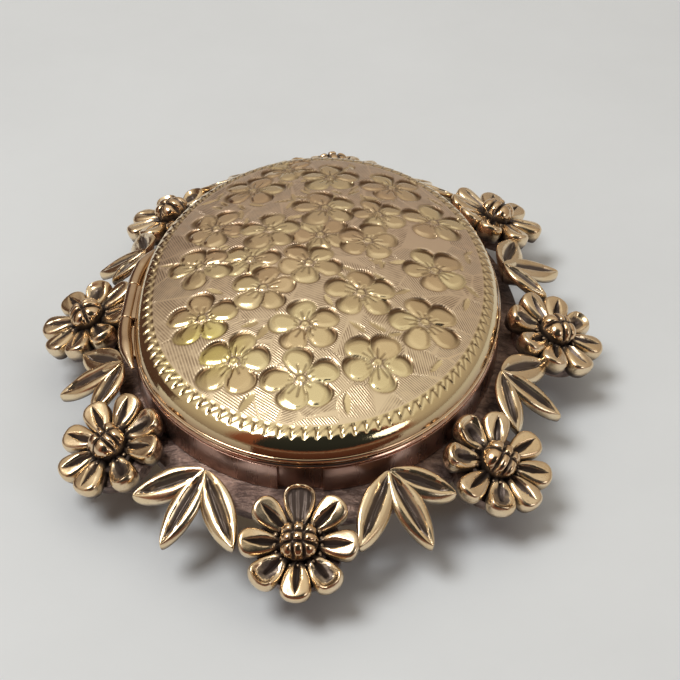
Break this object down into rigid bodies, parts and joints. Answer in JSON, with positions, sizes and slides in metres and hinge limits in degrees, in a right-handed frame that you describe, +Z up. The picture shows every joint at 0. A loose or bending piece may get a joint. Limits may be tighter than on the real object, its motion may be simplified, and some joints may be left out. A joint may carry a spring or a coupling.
{
  "type": "oval locket brooch",
  "caption": "Oval hinged locket with an engraved domed lid in a wreath of flowers and leaf sprays; opens to two photo frames and has a brooch pin with a turning safety catch.",
  "frame": {"origin": "on the table plane, under the centre of the lid oval", "axes": "+Z up out of the lid, +Y along the long axis of the oval, lid hinge on the -X side"},
  "size_m": [0.0475, 0.0572, 0.0121],
  "materials": {
    "engraved_gold": "yellow gold, polished bevel, hand-engraved satin top",
    "polished_gold": "polished rose-yellow gold",
    "case_gold": "toned gold, brown patina",
    "plate_gold": "oxidised gold, rough matted ground",
    "petal_gold": "antique gold, bright edges, oxidised hollows",
    "boss_gold": "antique gold, polished beads",
    "leaf_gold": "antique gold, bright margins, oxidised veins",
    "hinge_gold": "polished gold tube",
    "inner_gold": "bright polished gold",
    "window_clear": "clear crystal",
    "photo_paper": "blank aged paper, matt",
    "pin_steel": "hard drawn gold wire, polished"
  },
  "bodies": {
    "case": {"case_back": "case_gold", "case_wall": "case_gold", "case_bead": "polished_gold", "collar_band": "case_gold", "snap_lip": "inner_gold", "base_photo_frame": "inner_gold", "base_window": "window_clear", "base_photo_blank": "photo_paper", "wreath_plate": "plate_gold", "hinge_knuckle_front": "hinge_gold", "hinge_knuckle_rear": "hinge_gold", "hinge_pin": "hinge_gold", "pin_bracket": "case_gold", "pin_rivet": "hinge_gold", "catch_housing": "case_gold", "flower_front": "petal_gold", "flower_centre_front": "boss_gold", "flower_front_left": "petal_gold", "flower_centre_front_left": "boss_gold", "flower_left": "petal_gold", "flower_centre_left": "boss_gold", "flower_back_left": "petal_gold", "flower_centre_back_left": "boss_gold", "flower_back": "petal_gold", "flower_centre_back": "boss_gold", "flower_back_right": "petal_gold", "flower_centre_back_right": "boss_gold", "flower_right": "petal_gold", "flower_centre_right": "boss_gold", "flower_front_right": "petal_gold", "flower_centre_front_right": "boss_gold", "leaf_spray_front_left": "leaf_gold", "leaf_spray_left_front": "leaf_gold", "leaf_spray_left_back": "leaf_gold", "leaf_spray_back_left": "leaf_gold", "leaf_spray_back_right": "leaf_gold", "leaf_spray_right_back": "leaf_gold", "leaf_spray_right_front": "leaf_gold", "leaf_spray_front_right": "leaf_gold"},
    "lid": {"lid_shell": "engraved_gold", "lid_edge_band": "polished_gold", "lid_photo_frame": "inner_gold", "lid_window": "window_clear", "lid_photo_blank": "photo_paper", "lid_hinge_knuckle": "hinge_gold"},
    "pin": {"pin_stem": "pin_steel"},
    "roller": {"catch_roller": "hinge_gold"}
  },
  "joints": [
    {"name": "lid_hinge", "type": "hinge", "parent": "case", "child": "lid", "pos_m": [-0.0156, -0.00125, 0.0077], "axis": [0, -1, 0], "range_deg": [0, 105]},
    {"name": "pin_stem_hinge", "type": "hinge", "parent": "case", "child": "pin", "pos_m": [-0.011, 0.004, 0.00125], "axis": [0, 1, 0], "range_deg": [0, 110]},
    {"name": "catch_turn", "type": "hinge", "parent": "case", "child": "roller", "pos_m": [0.0116, 0.004, 0.00125], "axis": [1, 0, 0], "range_deg": [0, 80]}
  ]
}
